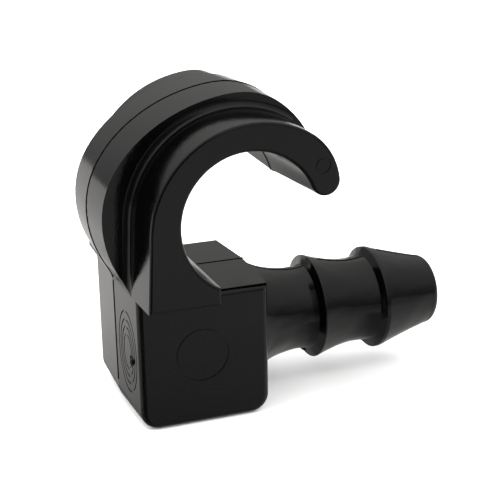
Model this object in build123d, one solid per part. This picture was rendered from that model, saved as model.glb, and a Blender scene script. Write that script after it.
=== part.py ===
from build123d import *
import os
from math import cos, radians, sin, tan

# Clip-on drip emitter for 1/4 in (6.35 mm) micro tubing.
# Millimetres, +X along the hose barb, +Z up. Sections are drawn from the lower left
# corner of the block and every part is moved at the end, so that the origin is the
# centre of the hook's bore on the mould parting plane.

os.makedirs("parts", exist_ok=True)

# ---- block ----------------------------------------------------------------------------
BLOCK_W = 6.20          # along X, at the front face
BLOCK_H = 6.00          # top, above the section datum
BLOCK_DROP = 0.28       # underside, below the section datum
BLOCK_HALF = 3.75       # half depth along Y
DRAFT = 1.8             # degrees, both mould halves, from the parting plane y = 0
FOOT_R = 0.85           # the two long bottom edges
FOOT_FLAT = 0.05        # height taken off the underside, where the halves meet, so it stands
EDGE_R = 0.26

# ---- hook -----------------------------------------------------------------------------
BORE_X = 4.80
BORE_Z = 9.575
BORE_R = 3.15           # true round land in the middle of the hook
BORE_DRAWN_R = 2.98     # drafted section at the parting plane
HOOK_HALF = 5.53
ARM_X = 5.10
ARM_Z = 9.13
ARM_R = 5.03            # at the parting plane
HOOK_EDGE_R = 0.13
MOUTH_X = 3.36          # where the bore wall drops to the block
TIP_ANGLE = 23.0        # degrees above the bore's horizontal
TIP_R = 0.85
BACK_ARM = [(150, 5.03), (120, 5.12), (94, 5.38), (76, 5.58), (56, 5.22)]     # degrees, radius
RIB_AT = (4.78, 8.80)
RIB_HALF = 2.58
RIB_ROUND = [(203, 5.60), (190, 5.80), (175, 5.99), (160, 6.07), (140, 5.95), (117, 5.83), (97, 5.91),
             (77, 6.10), (67, 6.04)]                                         # degrees, radius
RIB_END = [(7.90, 13.76), (8.36, 13.24), (8.95, 12.05)]
RIB_CORNER_R = 0.34     # inside corner between the rib's walls and the arm
PEG_R = 0.45
PEG_LENGTH = 1.10
PEG_PLACES = [(1.00, -2.55), (1.00, 2.55), (2.70, -2.55), (2.70, 2.55)]

# ---- moulding marks -------------------------------------------------------------------
PIN_MARK_R = 1.27       # ejector pin mark on the block's front
PIN_MARK = (2.96, 3.06)
TIP_MARK_R = 0.36       # small one on the hook's tip
TIP_MARK = (8.17, 11.80)
MARK_DEPTH = 0.04
MARK_WIDTH = 0.06
GATE_AT = (-1.90, 3.00)         # (y, z) of the oval gate mark on the left face
GATE_HALF = (1.38, 2.00)
GATE_STUB = (-2.52, 2.72)
GATE_GROOVE = 0.09
FLASH_T = 0.05          # flash where the mould halves meet
FLASH_H = 0.03

# ---- water way ------------------------------------------------------------------------
AXIS_Z = 3.16           # barb and chamber axis
CHAMBER_R = 2.25
CHAMBER_X = 1.20        # closed end of the chamber
BARB_IN_X = 4.60        # inner end of the barb's boss
RIM_R = 2.565
NECK_R = 2.06
RIM_1_X = 9.66
RIM_2_X = 12.94
RIM_LAND = 0.18
RIM_1_LAND = 0.05
RIM_BACK = 0.18         # how far the rims' back walls lean
BARB_END_X = 16.30
BARB_BORE_R = 1.00
STRAINER_R = 1.50
STRAINER_T = 0.40
SEAL_X = 5.60
SEAL_SECTION = 0.50

SEAT_T = 0.95
LIP_R = 0.90
LIP_HOLE_R = 0.55
LIP_H = 0.25
SLEEVE_R = 1.90         # inside
DISC_R = 1.85
DISC_T = 0.40
DISC_GAP = 0.30         # free travel down to the lip
CORE_GAP = 0.05
OUTLET_X = 1.70
OUTLET_R = 0.35
BUSH_R = 0.80
BUSH_H = 0.75

SEAT_FACE_X = CHAMBER_X + SEAT_T
DISC_X = SEAT_FACE_X + LIP_H + DISC_GAP
CORE_X = DISC_X + DISC_T + CORE_GAP
GROW = tan(radians(DRAFT))

XZ = Plane(origin=(0, 0, 0), x_dir=(1, 0, 0), z_dir=(0, -1, 0))


def one_way(outline_at, half, draft, soft=0.0):
    """The front half of a moulding, from the parting plane to a face that looks along -Y.
    outline_at(shrink) gives the section's edges, pulled in by the draft. soft rounds the rim
    of the face."""
    inner_face = (XZ * make_face(outline_at(0.0))).face()
    outer_face = (XZ * make_face(outline_at(half * tan(radians(draft))))).face()
    near = loft([inner_face, Pos(0, -half, 0) * outer_face], ruled=True)
    if soft:
        near = fillet([e for e in near.edges() if abs(e.center().Y + half) < 0.01], soft)
    return near


def both_ways(outline_at, half, draft, soft=0.0):
    """Both halves of a moulding that is the same on each side of the parting plane."""
    near = one_way(outline_at, half, draft, soft)
    return near + mirror(near, about=Plane.XZ)


def turned(points):
    """A solid of revolution about the water axis from (x, radius) corners."""
    face = make_face(Polyline(*points, close=True))
    return Pos(0, 0, AXIS_Z) * revolve(face, Axis.X, 360)


def tube(x0, x1, outer, inner):
    return turned([(x0, inner), (x1, inner), (x1, outer), (x0, outer)])


def rod(x0, x1, radius):
    return turned([(x0, 0), (x1, 0), (x1, radius), (x0, radius)])


def polar(cx, cz, radius, angle):
    a = radians(angle)
    return (cx + radius * cos(a), cz + radius * sin(a))


def drilled_down(x, y, z0, z1, radius):
    return Pos(x, y, (z0 + z1) / 2) * Cylinder(radius, abs(z1 - z0))


def front_pin_mark(place, radius, face_y):
    """The fine round line left by an ejector pin in a face that looks along -Y."""
    x, z = place
    ring = Cylinder(radius, 2 * MARK_DEPTH) - Cylinder(radius - MARK_WIDTH, 2 * MARK_DEPTH)
    return Pos(x, face_y, z) * Rot(90, 0, 0) * ring


def gate_groove(scale, width, depth):
    """An oval groove that follows the left face's draft."""
    ry, rz = GATE_HALF[0] * scale, GATE_HALF[1] * scale
    ring = Ellipse(ry, rz) - Ellipse(ry - width, rz - width)
    y, z = GATE_AT
    at_x = GROW * (abs(y) - BLOCK_HALF)
    on_face = Plane(origin=(at_x, y, z), x_dir=(-GROW, 1, 0), z_dir=(-1, -GROW, 0))
    return extrude(on_face * ring, amount=depth, both=True)


def flash_line(outlines, clear):
    """The thin raised line that the mould's parting plane leaves round these outlines, outside
    the solids in clear."""
    fin = Part()
    for outline_at in outlines:
        fin += extrude(XZ * make_face(outline_at(-FLASH_H)), amount=FLASH_T / 2, both=True)
    for other in clear:
        fin -= other
    return fin


def span(lo, hi):
    """A box given by its lowest and highest (x, z), wide enough to hold the parting plane."""
    size = (hi[0] - lo[0], 2.0, hi[1] - lo[1])
    return Pos((lo[0] + hi[0]) / 2, 0, (lo[1] + hi[1]) / 2) * Box(*size)


# ---- block_body -----------------------------------------------------------------------
side = GROW * BLOCK_HALF


def block_outline(shrink):
    x0, x1 = -side + shrink, BLOCK_W + side - shrink
    z0, z1 = -BLOCK_DROP - side + shrink, BLOCK_H + side - shrink
    foot = FOOT_R + side - shrink
    k = foot * (1 - cos(radians(45)))
    return [
        Line((x0, z1), (x0, z0 + foot)),
        ThreePointArc((x0, z0 + foot), (x0 + k, z0 + k), (x0 + foot, z0)),
        Line((x0 + foot, z0), (x1 - foot, z0)),
        ThreePointArc((x1 - foot, z0), (x1 - k, z0 + k), (x1, z0 + foot)),
        Line((x1, z0 + foot), (x1, z1)),
        Line((x1, z1), (x0, z1)),
    ]


blank = both_ways(block_outline, BLOCK_HALF, DRAFT, soft=EDGE_R)
foot_z = -BLOCK_DROP - side + FOOT_FLAT
blank -= Pos(BLOCK_W / 2, 0, foot_z - 1) * Box(2 * BLOCK_W, 4 * BLOCK_HALF, 2)

chamber = rod(CHAMBER_X, BLOCK_W + 1, CHAMBER_R)
outlet_hole = drilled_down(OUTLET_X, 0, -1, BUSH_H, BUSH_R)
outlet_port = drilled_down(OUTLET_X, 0, 0, AXIS_Z - CHAMBER_R + 0.2, OUTLET_R)
block_body = blank - chamber - outlet_hole - outlet_port
for px, py in PEG_PLACES:
    block_body -= drilled_down(px, py, BLOCK_H + 0.5, BLOCK_H - PEG_LENGTH, PEG_R)

block_body -= front_pin_mark(PIN_MARK, PIN_MARK_R, -BLOCK_HALF)
for oval_scale in (1.0, 0.80, 0.62, 0.44):
    block_body -= gate_groove(oval_scale, GATE_GROOVE, 0.04 * oval_scale)
stub_y, stub_z = GATE_STUB
stub_x = GROW * (abs(stub_y) - BLOCK_HALF)
block_body -= Pos(stub_x - 0.50, stub_y, stub_z) * Sphere(0.60)
block_body += Pos(stub_x + 0.06, stub_y - 0.04, stub_z + 0.03) * Sphere(0.19)

# ---- hook_clip ------------------------------------------------------------------------
base_z = BLOCK_H


def hook_outline(top_edges, bulge):
    """The C's section. top_edges(shrink) gives the line over the top, from leg to shoulder."""
    def at(shrink):
        left = -side + shrink
        bore = BORE_DRAWN_R + shrink
        tip = TIP_R - shrink
        mouth = (MOUTH_X, BORE_Z - (bore ** 2 - (BORE_X - MOUTH_X) ** 2) ** 0.5)
        tip_at = polar(BORE_X, BORE_Z, BORE_DRAWN_R + TIP_R, TIP_ANGLE)
        tip_out = polar(*tip_at, tip, 12)
        tip_in = polar(BORE_X, BORE_Z, bore, TIP_ANGLE)
        over, shoulder = top_edges(shrink)
        leg_top = (ARM_X - ARM_R + shrink, ARM_Z)
        pulled_in = (bulge[0] - 0.8 * shrink, bulge[1] - 0.6 * shrink)
        return [
            Line((left, base_z), leg_top),
            over,
            ThreePointArc(shoulder, pulled_in, tip_out),
            ThreePointArc(tip_out, polar(*tip_at, tip, -75), tip_in),
            ThreePointArc(tip_in, polar(BORE_X, BORE_Z, bore, 135), mouth),
            Line(mouth, (MOUTH_X, base_z)),
            Line((MOUTH_X, base_z), (left, base_z)),
        ]
    return at


def front_top(shrink):
    r = ARM_R - shrink
    shoulder = polar(ARM_X, ARM_Z, r, 56)
    return ThreePointArc((ARM_X - r, ARM_Z), polar(ARM_X, ARM_Z, r, 115), shoulder), shoulder


def back_top(shrink):
    points = [polar(ARM_X, ARM_Z, r - shrink, a) for a, r in BACK_ARM]
    ends = [(0, 1), (0.83, -0.56)]
    return Spline((ARM_X - ARM_R + shrink, ARM_Z), *points, tangents=ends), points[-1]


def rib_outline(shrink):
    left = -side + shrink
    foot = (left - 0.05, base_z + 0.20)
    points = [polar(*RIB_AT, r - shrink, a) for a, r in RIB_ROUND]
    points += [(x - 0.7 * shrink, z - 0.7 * shrink) for x, z in RIB_END]
    return [
        Line((1.2, base_z), (left, base_z)),
        Line((left, base_z), foot),
        Line(foot, points[0]),
        Spline(*points),
        Line(points[-1], (BORE_X, BORE_Z)),
        Line((BORE_X, BORE_Z), (1.2, base_z)),
    ]


def rib_corner(top_edges):
    """The rounded inside corner between the rib's front wall and the arm, from the leg's foot
    to the shoulder, and no taller than the rib."""
    shrink = GROW * RIB_HALF
    over = top_edges(shrink)[0]
    leg = Line((-side + shrink, base_z), (ARM_X - ARM_R + shrink, ARM_Z))
    r = RIB_CORNER_R
    corner = [
        ThreePointArc((r, 0), (0.293 * r, 0.293 * r), (-GROW * r, r)),
        Line((-GROW * r, r), (-0.15, r)),
        Line((-0.15, r), (-0.15, -0.15)),
        Line((-0.15, -0.15), (r, -0.15)),
        Line((r, -0.15), (r, 0)),
    ]
    filled = Part()
    for path in (leg, over):
        x, z = (path @ 0).X, (path @ 0).Y
        foot = Plane(origin=(x, -RIB_HALF, z), x_dir=(-1, 0, 0), z_dir=(0, 0, 1))
        line = Pos(0, -RIB_HALF, 0) * XZ.location * path
        filled += sweep(foot * make_face(corner), path=line)
    return filled & extrude(XZ * make_face(rib_outline(shrink)), amount=RIB_HALF + 1)


front_outline = hook_outline(front_top, (8.86, 12.18))
back_outline = hook_outline(back_top, (8.95, 12.25))
arm = one_way(front_outline, HOOK_HALF, DRAFT, HOOK_EDGE_R)
rear = one_way(back_outline, HOOK_HALF, DRAFT, HOOK_EDGE_R)
arm += mirror(rear, about=Plane.XZ)
rib = both_ways(rib_outline, RIB_HALF, DRAFT)
rib -= Pos(BORE_X, 0, BORE_Z) * Rot(90, 0, 0) * Cylinder(BORE_R + 0.8, 20)
hook_clip = arm + rib + rib_corner(front_top) + mirror(rib_corner(back_top), about=Plane.XZ)
hook_clip -= blank
hook_clip -= Pos(BORE_X, 0, BORE_Z) * Rot(90, 0, 0) * Cylinder(BORE_R, 20)
for px, py in PEG_PLACES:
    hook_clip += drilled_down(px, py, BLOCK_H + 0.3, BLOCK_H - PEG_LENGTH, PEG_R)
hook_clip -= front_pin_mark(TIP_MARK, TIP_MARK_R, -HOOK_HALF)
bore_space = Pos(BORE_X, 0, BORE_Z) * Rot(90, 0, 0) * Cylinder(BORE_R - FLASH_H, 20)
hook_clip += flash_line([back_outline, rib_outline], [hook_clip, blank, bore_space])

barb_root = span((BLOCK_W - 1, AXIS_Z - 2.8), (BLOCK_W + 1, AXIS_Z + 2.8))
below = span((-1, -1), (BLOCK_W + 1, FOOT_R))
under_hook = span((-1, BLOCK_H - 0.1), (MOUTH_X, BLOCK_H + 1))
block_body += flash_line([block_outline], [blank, barb_root, below, under_hook])

# ---- hose_barb ------------------------------------------------------------------------
root_x = BLOCK_W - 0.05
root_curve = [(BLOCK_W + 0.25, 2.72), (7.10, 2.38), (8.30, 2.08), (9.20, NECK_R), (RIM_1_X - RIM_BACK, 2.13)]
waist_curve = [(RIM_1_X + RIM_1_LAND, RIM_R), (10.45, 2.33), (11.35, 2.14), (12.30, 2.12)]
waist_curve += [(RIM_2_X - RIM_BACK, 2.19)]
nose_curve = [(RIM_2_X + RIM_LAND, RIM_R), (14.30, 2.20), (15.85, 1.78)]
pocket_x = BARB_IN_X + STRAINER_T
groove_r = CHAMBER_R - SEAL_SECTION
groove = SEAL_SECTION / 2 + 0.05
barb_profile = [
    Line((BARB_IN_X, STRAINER_R), (BARB_IN_X, CHAMBER_R)),
    Line((BARB_IN_X, CHAMBER_R), (SEAL_X - groove, CHAMBER_R)),
    Line((SEAL_X - groove, CHAMBER_R), (SEAL_X - groove, groove_r)),
    Line((SEAL_X - groove, groove_r), (SEAL_X + groove, groove_r)),
    Line((SEAL_X + groove, groove_r), (SEAL_X + groove, CHAMBER_R)),
    Line((SEAL_X + groove, CHAMBER_R), (root_x, CHAMBER_R)),
    Line((root_x, CHAMBER_R), (root_x, 2.72)),
    Line((root_x, 2.72), root_curve[0]),
    Spline(*root_curve),
    Line(root_curve[-1], (RIM_1_X, RIM_R)),
    Line((RIM_1_X, RIM_R), waist_curve[0]),
    Spline(*waist_curve),
    Line(waist_curve[-1], (RIM_2_X, RIM_R)),
    Line((RIM_2_X, RIM_R), nose_curve[0]),
    Spline(*nose_curve),
    ThreePointArc(nose_curve[-1], (16.18, 1.64), (BARB_END_X, 1.36)),
    Line((BARB_END_X, 1.36), (BARB_END_X, BARB_BORE_R + 0.15)),
    Line((BARB_END_X, BARB_BORE_R + 0.15), (BARB_END_X - 0.15, BARB_BORE_R)),
    Line((BARB_END_X - 0.15, BARB_BORE_R), (pocket_x, BARB_BORE_R)),
    Line((pocket_x, BARB_BORE_R), (pocket_x, STRAINER_R)),
    Line((pocket_x, STRAINER_R), (BARB_IN_X, STRAINER_R)),
]
hose_barb = Pos(0, 0, AXIS_Z) * revolve(make_face(barb_profile), Axis.X, 360)
hose_barb -= block_body
for rim_x in (RIM_1_X, RIM_2_X):
    fin_corners = [(rim_x, -2.0), (rim_x, -2.50), (rim_x - 0.28, -2.30), (rim_x - 0.46, -2.0)]
    fin_outline = Polyline(*fin_corners, close=True)
    fin = extrude(XZ * make_face(fin_outline), amount=FLASH_T / 2, both=True)
    hose_barb += Pos(0, 0, AXIS_Z) * fin

rim_zones = [span((x - 0.1, -1), (x + 0.6, RIM_R + 1)) for x in (RIM_1_X, RIM_2_X)]
for curve in (root_curve, waist_curve, nose_curve):
    raised = [(x, r + FLASH_H) for x, r in curve]
    foot_line = Polyline(raised[-1], (raised[-1][0], 1.60), (raised[0][0], 1.60), raised[0])
    web = extrude(XZ * make_face([Spline(*raised), foot_line]), amount=FLASH_T / 2, both=True)
    web = web - rim_zones[0] - rim_zones[1]
    hose_barb += Pos(0, 0, AXIS_Z) * web
    hose_barb += Pos(0, 0, AXIS_Z) * mirror(web, about=Plane.XY)

# ---- barb_seal, inlet_strainer --------------------------------------------------------
ring_section = Pos(SEAL_X, CHAMBER_R - SEAL_SECTION / 2) * Circle(SEAL_SECTION / 2 - 0.005)
barb_seal = Pos(0, 0, AXIS_Z) * revolve(ring_section, Axis.X, 360)

inlet_strainer = rod(BARB_IN_X, pocket_x, STRAINER_R)
for ring_r, count in ((0.0, 1), (0.50, 6), (0.98, 12)):
    for i in range(count):
        a = 360 / count * i
        y, z = polar(0, AXIS_Z, ring_r, a)
        inlet_strainer -= Pos(BARB_IN_X + 0.2, y, z) * Rot(0, 90, 0) * Cylinder(0.16, 1)

# ---- labyrinth_sleeve, labyrinth_core -------------------------------------------------
labyrinth_sleeve = tube(SEAT_FACE_X, BARB_IN_X, CHAMBER_R, SLEEVE_R)
bypass_x = (SEAT_FACE_X + CORE_X + 0.2) / 2
bypass = Box(CORE_X + 0.2 - SEAT_FACE_X, 0.45, 0.20)
labyrinth_sleeve -= Pos(bypass_x, 0, AXIS_Z + SLEEVE_R + 0.05) * bypass

labyrinth_core = rod(CORE_X, BARB_IN_X, SLEEVE_R) - rod(CORE_X - 1, BARB_IN_X + 1, 0.35)
labyrinth_core -= rod(CORE_X - 1, CORE_X + 0.15, 1.35)
turns = 3
pitch = (BARB_IN_X - CORE_X) / (turns + 0.5)
for i in range(turns):
    gx = CORE_X + pitch * (i + 0.45)
    labyrinth_core -= tube(gx, gx + 0.20, SLEEVE_R + 0.2, SLEEVE_R - 0.28)
for i in range(turns + 1):
    gx = CORE_X + pitch * (i - 0.05)
    up = 1 if i % 2 == 0 else -1
    labyrinth_core -= Pos(gx, 0, AXIS_Z + up * SLEEVE_R) * Box(pitch * 0.75, 0.36, 0.50)

# ---- diaphragm, diaphragm_seat, outlet_bush -------------------------------------------
diaphragm = rod(DISC_X, DISC_X + DISC_T, DISC_R)

diaphragm_seat = rod(CHAMBER_X, SEAT_FACE_X, CHAMBER_R)
diaphragm_seat += rod(CHAMBER_X, SEAT_FACE_X + LIP_H, LIP_R)
diaphragm_seat -= rod(CHAMBER_X + 0.25, SEAT_FACE_X + 1, LIP_HOLE_R)
diaphragm_seat -= drilled_down(OUTLET_X, 0, 0, AXIS_Z, OUTLET_R)
diaphragm_seat -= Pos(SEAT_FACE_X + LIP_H, 0, AXIS_Z + LIP_R) * Box(0.16, 0.20, 1.0)

bush_z = foot_z + 0.02
outlet_bush = Pos(OUTLET_X, 0, (BUSH_H + bush_z) / 2) * Cylinder(BUSH_R, BUSH_H - bush_z)
outlet_bush -= drilled_down(OUTLET_X, 0, -1, 2, OUTLET_R)

# ---- out ------------------------------------------------------------------------------
parts = {
    "block_body": block_body,
    "hook_clip": hook_clip,
    "hose_barb": hose_barb,
    "barb_seal": barb_seal,
    "inlet_strainer": inlet_strainer,
    "labyrinth_sleeve": labyrinth_sleeve,
    "labyrinth_core": labyrinth_core,
    "diaphragm": diaphragm,
    "diaphragm_seat": diaphragm_seat,
    "outlet_bush": outlet_bush,
}
for name, shape in parts.items():
    export_step(Pos(-BORE_X, 0, -BORE_Z) * shape, f"parts/{name}.step")
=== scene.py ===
import math

import bpy
from mathutils import Matrix, Vector


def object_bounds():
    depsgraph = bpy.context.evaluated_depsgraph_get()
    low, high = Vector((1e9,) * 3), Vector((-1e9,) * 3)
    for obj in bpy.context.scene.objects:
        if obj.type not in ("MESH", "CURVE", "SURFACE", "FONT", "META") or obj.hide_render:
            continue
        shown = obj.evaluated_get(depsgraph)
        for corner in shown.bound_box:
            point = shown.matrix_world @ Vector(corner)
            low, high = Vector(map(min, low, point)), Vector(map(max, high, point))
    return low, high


MM = 0.001

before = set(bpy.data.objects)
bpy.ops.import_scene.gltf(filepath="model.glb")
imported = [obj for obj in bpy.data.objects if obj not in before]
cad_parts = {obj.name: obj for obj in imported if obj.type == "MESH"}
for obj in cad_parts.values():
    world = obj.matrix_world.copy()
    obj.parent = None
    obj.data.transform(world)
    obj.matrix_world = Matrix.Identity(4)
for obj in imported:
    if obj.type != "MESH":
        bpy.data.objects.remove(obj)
cad_low, cad_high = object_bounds()

# ---- plastics and rubbers ---------------------------------------------------------------
BLACK = (0.0009, 0.0009, 0.0010, 1.0)
NATURAL_ACETAL = (0.70, 0.70, 0.66, 1.0)
SEAL_BLACK = (0.012, 0.012, 0.012, 1.0)
SILICONE = (0.60, 0.24, 0.10, 1.0)
PLASTIC_IOR = 1.5
GLOSS, DULL = 0.07, 0.16                    # roughness of the shiniest and dullest patches
INSERT_GLOSS, INSERT_DULL = 0.25, 0.38
SEAL_ROUGH, SILICONE_ROUGH = 0.45, 0.35
RUBBER_SPREAD = 0.08                        # roughness either side of the middle
RUBBER_GRAIN = 0.003 * MM
PLASTIC_PATCHES = (0.30, 0.75)              # noise levels at the shiniest and dullest patches
OTHER_PATCHES = (0.30, 0.70)
BLACK_RIPPLE, BLACK_GRAIN = 0.012 * MM, 0.0035 * MM
BARB_RIPPLE, BARB_GRAIN = 0.20 * MM, 0.0008 * MM
INSERT_RIPPLE, INSERT_GRAIN = 0.004 * MM, 0.0010 * MM

# noise scales, roughly how many cells there are in a metre
PATCH_SCALE = 420.0
EVEN_RIPPLE_SCALE = (260.0, 260.0, 260.0)
BARB_RIPPLE_SCALE = (300.0, 520.0, 520.0)   # drawn out along the barb
TOOL_GRAIN_SCALE = 9000.0
RUBBER_PATCH_SCALE = 900.0
RUBBER_GRAIN_SCALE = 6000.0
FLOOR_PATCH_SCALE = 30.0

# ---- floor and lights -------------------------------------------------------------------
FLOOR_PALE = (0.90, 0.90, 0.90, 1.0)
FLOOR_HALF = 3.0
FLOOR_ROUGH = (0.85, 0.95)
SOFTBOX_SIDE = 0.7
# name, place from the part's centre, watts
SOFTBOXES = [
    ("back_top", (-0.15, 0.45, 0.50), 6.0),
    ("left_top", (-0.50, -0.05, 0.45), 4.0),
    ("right_top", (0.50, -0.10, 0.45), 4.0),
    ("front_top", (0.05, -0.50, 0.45), 4.0),
]

# ---- brightness of the room that the gloss reflects -------------------------------------
ROOM_TINT = (1.0, 0.985, 0.965, 1.0)
SKY_LOW, SKY_HIGH = 0.20, 0.75
FLOOR_BEFORE, FLOOR_BEHIND = 0.43, 0.85
FLOOR_BENEATH, FLOOR_RIGHT = 0.22, 0.60
ROOM_DARK = 0.65                            # of the band at eye height in front
LEFT_DARK = 0.15                            # of the room's front left corner
# where it changes, in parts of the unit vector that looks that way: X right, Y back, Z up
FLOOR_Y = (-0.9, 0.9)                       # before to behind
STEEP_Z = (-0.33, -0.47)                    # floor further off to floor beneath
BENEATH_X = (0.30, 0.60)                    # beneath to the right
HORIZON_Z = (0.008, -0.008)                 # sky to floor
BAND_BELOW_Z = (-0.26, -0.04)               # the band's lower edge
BAND_ABOVE_Z = (0.08, 0.42)                 # the band's upper edge
CORNER_X = (-0.20, 0.15)                    # dark corner to the rest of the front
FRONT_Y = (-0.15, -0.60)                    # sides to front

# ---- camera -----------------------------------------------------------------------------
CAMERA_AIM = Vector((1.942, 0.026, -3.126)) * MM
CAMERA_DISTANCE = 60.0 * MM
CAMERA_AZIMUTH = math.radians(-20.265)      # from straight in front, minus is to the left
CAMERA_ELEVATION = math.radians(18.116)
CAMERA_ROLL = math.radians(-1.044)
LENS_MM = 89.2
SENSOR_MM = 36.0


# ---- shader nodes -----------------------------------------------------------------------
class Nodes:
    """Short names for adding shader nodes to one tree. add gives the node itself, and the methods
    after join give the new node's output."""

    def __init__(self, tree):
        self.tree = tree
        tree.nodes.clear()

    def add(self, kind, **inputs):
        node = self.tree.nodes.new(kind)
        for name, value in inputs.items():
            node.inputs[name.replace("_", " ")].default_value = value
        return node

    def join(self, output, socket):
        self.tree.links.new(output, socket)

    def coordinates(self, kind="Object"):
        return self.add("ShaderNodeTexCoord").outputs[kind]

    def noise(self, vector, scale, detail=3.0, rough=0.5):
        node = self.add("ShaderNodeTexNoise", Scale=scale, Detail=detail, Roughness=rough)
        self.join(vector, node.inputs["Vector"])
        return node.outputs["Fac"]

    def stretched(self, vector, scale):
        node = self.add("ShaderNodeMapping", Scale=scale)
        self.join(vector, node.inputs["Vector"])
        return node.outputs["Vector"]

    def ramp(self, value, low, high, to_low, to_high, smooth=False):
        node = self.add("ShaderNodeMapRange", From_Min=low, From_Max=high, To_Min=to_low, To_Max=to_high)
        node.interpolation_type = "SMOOTHSTEP" if smooth else "LINEAR"
        self.join(value, node.inputs["Value"])
        return node.outputs["Result"]

    def bump(self, height, distance, below=None):
        node = self.add("ShaderNodeBump", Distance=distance, Strength=1.0)
        self.join(height, node.inputs["Height"])
        if below is not None:
            self.join(below, node.inputs["Normal"])
        return node.outputs["Normal"]

    def maths(self, operation, first, second):
        node = self.add("ShaderNodeMath")
        node.operation = operation
        self.join(first, node.inputs[0])
        self.join(second, node.inputs[1])
        return node.outputs[0]

    def mixed(self, factor, first, second):
        node = self.add("ShaderNodeMix")
        node.data_type = "FLOAT"
        for socket, value in ((node.inputs[0], factor), (node.inputs[2], first), (node.inputs[3], second)):
            if isinstance(value, float):
                socket.default_value = value
            else:
                self.join(value, socket)
        return node.outputs[0]


def new_material(name, colour):
    """A material with a Principled shader, its nodes, and that shader's inputs."""
    material = bpy.data.materials.new(name)
    material.use_nodes = True
    nodes = Nodes(material.node_tree)
    shader = nodes.add("ShaderNodeBsdfPrincipled", Base_Color=colour)
    output = nodes.add("ShaderNodeOutputMaterial")
    nodes.join(shader.outputs["BSDF"], output.inputs["Surface"])
    return material, nodes, shader.inputs


# ---- materials --------------------------------------------------------------------------
def plastic(name, colour, gloss, dull, ripple, grain, ripple_scale=EVEN_RIPPLE_SCALE):
    """Moulded plastic: slow ripple from cooling, fine tool grain, gloss that varies a little."""
    material, nodes, surface = new_material(name, colour)
    surface["IOR"].default_value = PLASTIC_IOR
    place = nodes.coordinates()
    patches = nodes.noise(place, PATCH_SCALE, 4.0, 0.6)
    nodes.join(nodes.ramp(patches, *PLASTIC_PATCHES, gloss, dull), surface["Roughness"])
    waves = nodes.noise(nodes.stretched(place, ripple_scale), 1.0, 2.0, 0.4)
    rippled = nodes.bump(waves, ripple)
    fine = nodes.noise(place, TOOL_GRAIN_SCALE, 2.0, 0.5)
    nodes.join(nodes.bump(fine, grain, below=rippled), surface["Normal"])
    return material


def rubber(name, colour, rough):
    """Moulded rubber: dull, with patches a little duller and a fine grain."""
    material, nodes, surface = new_material(name, colour)
    place = nodes.coordinates()
    patches = nodes.noise(place, RUBBER_PATCH_SCALE)
    spread = nodes.ramp(patches, *OTHER_PATCHES, rough - RUBBER_SPREAD, rough + RUBBER_SPREAD)
    nodes.join(spread, surface["Roughness"])
    fine = nodes.noise(place, RUBBER_GRAIN_SCALE)
    nodes.join(nodes.bump(fine, RUBBER_GRAIN), surface["Normal"])
    return material


def floor_material():
    material, nodes, surface = new_material("pale_floor", FLOOR_PALE)
    surface["Specular IOR Level"].default_value = 0.0
    patches = nodes.noise(nodes.coordinates(), FLOOR_PATCH_SCALE)
    nodes.join(nodes.ramp(patches, *OTHER_PATCHES, *FLOOR_ROUGH), surface["Roughness"])
    return material


black = plastic("black_moulding", BLACK, GLOSS, DULL, BLACK_RIPPLE, BLACK_GRAIN)
barb_black = plastic("black_barb", BLACK, GLOSS, DULL, BARB_RIPPLE, BARB_GRAIN, BARB_RIPPLE_SCALE)
insert = plastic(
    "natural_acetal", NATURAL_ACETAL, INSERT_GLOSS, INSERT_DULL, INSERT_RIPPLE, INSERT_GRAIN
)
seal = rubber("seal_rubber", SEAL_BLACK, SEAL_ROUGH)
silicone = rubber("silicone", SILICONE, SILICONE_ROUGH)

NODE_MATERIALS = {
    "block_body": black,
    "hook_clip": black,
    "hose_barb": barb_black,
    "outlet_bush": black,
    "barb_seal": seal,
    "diaphragm": silicone,
    "inlet_strainer": insert,
    "labyrinth_sleeve": insert,
    "labyrinth_core": insert,
    "diaphragm_seat": insert,
}
for node_name, material in NODE_MATERIALS.items():
    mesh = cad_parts[node_name].data
    mesh.materials.clear()
    mesh.materials.append(material)


# ---- floor, light, camera ---------------------------------------------------------------
def make_floor():
    half = FLOOR_HALF
    corners = [(-half, -half, 0), (half, -half, 0), (half, half, 0), (-half, half, 0)]
    mesh = bpy.data.meshes.new("floor")
    mesh.from_pydata(corners, [], [(0, 1, 2, 3)])
    mesh.materials.append(floor_material())
    floor = bpy.data.objects.new("floor", mesh)
    floor.location.z = cad_low.z
    floor.visible_glossy = False
    bpy.context.collection.objects.link(floor)


def make_light(name, at, target, power):
    data = bpy.data.lights.new(name, "AREA")
    data.shape = "SQUARE"
    data.size = SOFTBOX_SIDE
    data.energy = power
    light = bpy.data.objects.new(name, data)
    light.location = at
    light.rotation_mode = "QUATERNION"
    light.rotation_quaternion = (target - at).to_track_quat("-Z", "Y")
    light.visible_glossy = False
    bpy.context.collection.objects.link(light)


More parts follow.
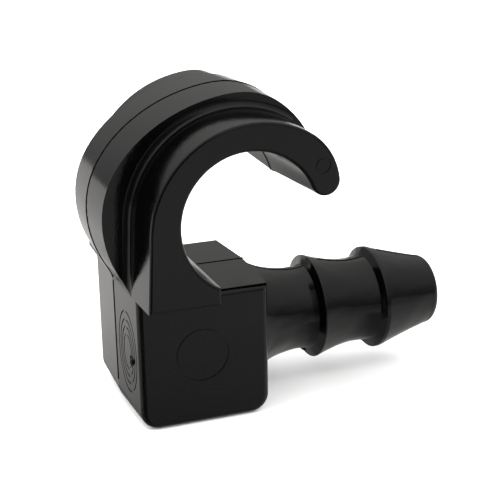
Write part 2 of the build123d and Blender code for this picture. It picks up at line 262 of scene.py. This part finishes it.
def make_sky():
    """A pale room as gloss sees it. Over the horizon it brightens slowly. Under it is a floor lit
    from behind, darker in front and straight down. The front of the room has a soft dark band at
    eye height and a dark corner on the left."""
    world = bpy.data.worlds.new("studio")
    world.use_nodes = True
    nodes = Nodes(world.node_tree)
    split = nodes.add("ShaderNodeSeparateXYZ")
    nodes.join(nodes.coordinates("Generated"), split.inputs["Vector"])
    x, y, z = (split.outputs[axis] for axis in "XYZ")

    above = nodes.ramp(z, 0.0, 1.0, SKY_LOW, SKY_HIGH)
    floor_side = nodes.ramp(y, *FLOOR_Y, FLOOR_BEFORE, FLOOR_BEHIND)
    steep = nodes.ramp(z, *STEEP_Z, 0.0, 1.0, smooth=True)
    below = nodes.mixed(steep, floor_side, nodes.ramp(x, *BENEATH_X, FLOOR_BENEATH, FLOOR_RIGHT))
    room = nodes.mixed(nodes.ramp(z, *HORIZON_Z, 0.0, 1.0), above, below)

    rising = nodes.ramp(z, *BAND_BELOW_Z, 1.0, ROOM_DARK, smooth=True)
    fading = nodes.ramp(z, *BAND_ABOVE_Z, 0.0, 1.0 - ROOM_DARK, smooth=True)
    band = nodes.maths("ADD", rising, fading)
    corner = nodes.ramp(x, *CORNER_X, LEFT_DARK, 1.0, smooth=True)
    band = nodes.maths("MULTIPLY", band, corner)
    in_front = nodes.ramp(y, *FRONT_Y, 0.0, 1.0, smooth=True)
    level = nodes.maths("MULTIPLY", room, nodes.mixed(in_front, 1.0, band))

    back = nodes.add("ShaderNodeBackground", Color=ROOM_TINT)
    nodes.join(level, back.inputs["Strength"])
    output = nodes.add("ShaderNodeOutputWorld")
    nodes.join(back.outputs["Background"], output.inputs["Surface"])
    bpy.context.scene.world = world


def make_camera():
    data = bpy.data.cameras.new("camera")
    data.lens = LENS_MM
    data.sensor_width = SENSOR_MM
    data.clip_start = 1.0 * MM
    data.clip_end = 20.0
    data.dof.use_dof = False
    camera = bpy.data.objects.new("camera", data)
    round_part = Matrix.Rotation(CAMERA_AZIMUTH, 4, "Z")
    tilted = Matrix.Rotation(math.pi / 2 - CAMERA_ELEVATION, 4, "X")
    rolled = Matrix.Rotation(CAMERA_ROLL, 4, "Z")
    drawn_back = Matrix.Translation((0, 0, CAMERA_DISTANCE))
    camera.matrix_world = Matrix.Translation(CAMERA_AIM) @ round_part @ tilted @ rolled @ drawn_back
    bpy.context.collection.objects.link(camera)
    bpy.context.scene.camera = camera


centre = (cad_low + cad_high) / 2
make_floor()
make_sky()
for light_name, offset, power in SOFTBOXES:
    make_light(light_name, centre + Vector(offset), centre, power)
make_camera()
bpy.context.scene.view_settings.view_transform = "Standard"
